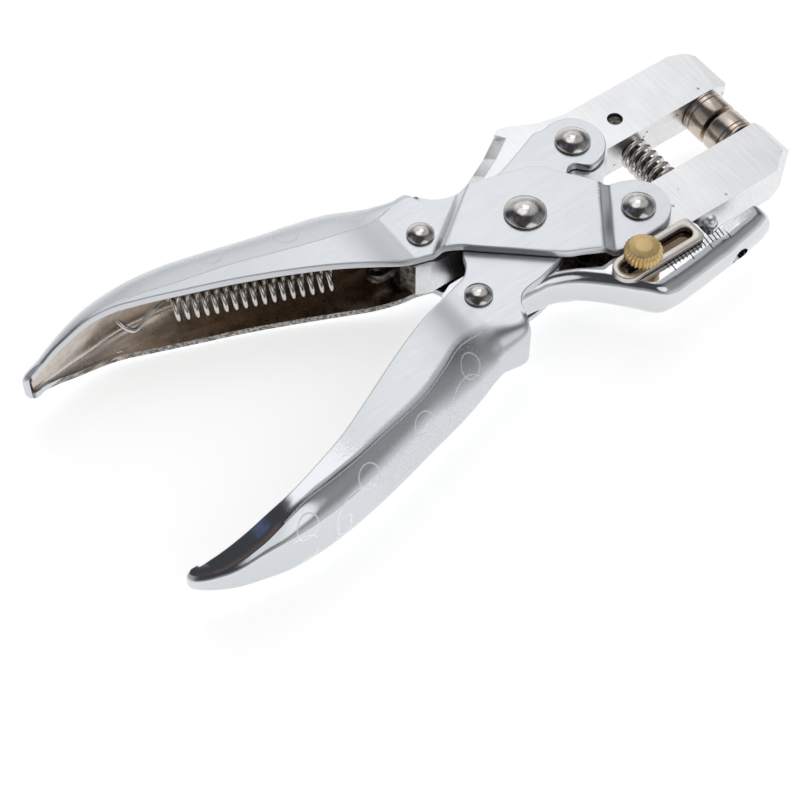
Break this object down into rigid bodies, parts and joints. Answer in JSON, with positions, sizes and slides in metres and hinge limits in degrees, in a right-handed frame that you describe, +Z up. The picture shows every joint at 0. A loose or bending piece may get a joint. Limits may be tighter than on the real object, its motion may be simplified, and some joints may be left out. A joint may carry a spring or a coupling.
{
  "type": "eyelet punch pliers",
  "caption": "Parallel-jaw eyelet pliers: crossed sheet-steel grips close two cast jaws that carry round dies, with a sprung guide rod and a slotted sliding gauge.",
  "frame": {"origin": "on the main pivot axis, at the far flat of the main pivot rivet, in the plane that the pliers rest on", "axes": "+X from the pivot towards the front of the jaws, +Y from the lower jaw to the upper jaw, +Z up out of the table towards the gauge and thumb nut"},
  "size_m": [0.1674, 0.0696, 0.0216],
  "materials": {
    "casting": "satin plated casting",
    "chrome": "bright chrome plate",
    "rivet": "polished nickel",
    "die": "ground and burnished",
    "wire": "drawn spring wire, plated",
    "plate": "satin nickel",
    "brass": "knurled, lightly worn",
    "screw": "dark oiled"
  },
  "bodies": {
    "lower_jaw": {"lower_jaw": "casting", "lower_die": "die", "pilot_pin": "die", "lower_die_grub_screw": "screw", "gauge_channel": "chrome", "gauge_rear_rivet": "rivet", "gauge_front_rivet": "rivet", "thumb_nut_stud": "screw", "thumb_nut_washer": "plate", "gauge_ball_pin": "rivet"},
    "upper_lever": {"upper_grip_lever": "chrome", "main_pivot_rivet": "rivet", "lower_jaw_rivet": "rivet", "upper_rear_rivet": "rivet", "upper_rear_sleeve": "screw", "return_spring": "wire"},
    "lower_lever": {"lower_grip_lever": "chrome", "main_pivot_sleeve": "screw", "upper_jaw_rivet": "rivet", "lower_rear_rivet": "rivet", "lower_rear_sleeve": "screw"},
    "upper_jaw": {"upper_jaw": "casting", "upper_die": "die", "upper_die_grub_screw": "screw", "guide_rod": "die", "guide_rod_set_screw": "screw", "guide_spring": "wire"},
    "gauge_stop": {"gauge_stop_plate": "plate"},
    "thumb_nut": {"thumb_nut": "brass"}
  },
  "joints": [
    {"name": "main_pivot", "type": "hinge", "parent": "upper_lever", "child": "lower_lever", "pos_m": [0, 0, 0.0104], "axis": [0, 0, 1], "range_deg": [-2.1, 12], "stiffness_Nm_per_rad": 0.5, "deforming": ["guide_spring", "return_spring"]},
    {"name": "lower_jaw_pivot", "type": "hinge", "parent": "lower_jaw", "child": "upper_lever", "pos_m": [0.0215, -0.011, 0.0104], "axis": [0, 0, 1], "range_deg": [-6.1, 1.1]},
    {"name": "upper_jaw_pivot", "type": "hinge", "parent": "lower_lever", "child": "upper_jaw", "pos_m": [0.0215, 0.011, 0.0104], "axis": [0, 0, 1], "range_deg": [-6.1, 1.1]},
    {"name": "gauge_slide", "type": "slide", "parent": "lower_jaw", "child": "gauge_stop", "axis": [1, 0, 0], "range_m": [-0.011, 0.0011]},
    {"name": "thumb_nut_spin", "type": "hinge", "parent": "lower_jaw", "child": "thumb_nut", "pos_m": [0.0135, -0.0225, 0.0187], "axis": [0, 0, 1], "continuous": true}
  ],
  "couplings": [
    {"joint": "lower_jaw_pivot", "follows": "main_pivot", "ratio": -0.5},
    {"joint": "upper_jaw_pivot", "follows": "main_pivot", "ratio": -0.5}
  ]
}
